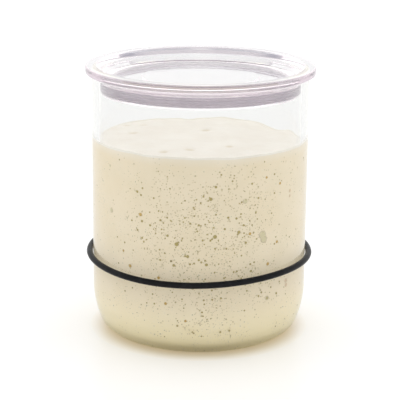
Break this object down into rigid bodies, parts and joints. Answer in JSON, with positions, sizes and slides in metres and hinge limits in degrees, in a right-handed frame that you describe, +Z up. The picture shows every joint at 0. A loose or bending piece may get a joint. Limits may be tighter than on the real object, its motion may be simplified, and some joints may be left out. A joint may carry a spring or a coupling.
{
  "type": "sourdough starter jar",
  "caption": "Straight-sided glass jar holding bubbly dough starter, with a drop-in lid that carries a soft seal, and a cord ring round the glass that marks the starter's level.",
  "frame": {"origin": "centre of the flat ring that the jar stands on, on the table plane", "axes": "+Z up along the jar's axis to the lid, +X to the viewer's right in the picture and -Y towards the viewer"},
  "size_m": [0.0976, 0.0976, 0.1151],
  "materials": {
    "glass": "clear and fire-polished, thick at the heel",
    "starter": "moist cream-coloured dough, full of small bubbles where it lies against the glass",
    "lid": "clear moulded plastic with a faint lilac tint that shows at its edge",
    "seal": "translucent lilac-grey silicone",
    "band": "satin black cord"
  },
  "bodies": {
    "jar": {"jar": "glass", "starter": "starter"},
    "lid": {"lid": "lid", "lid_seal": "seal"},
    "level_band": {"level_band": "band"}
  },
  "joints": [
    {"name": "lid_lift", "type": "slide", "parent": "jar", "child": "lid", "axis": [0, 0, 1], "range_m": [0, 0.06]},
    {"name": "band_slide", "type": "slide", "parent": "jar", "child": "level_band", "axis": [0, 0, 1], "range_m": [-0.01, 0.07]}
  ]
}
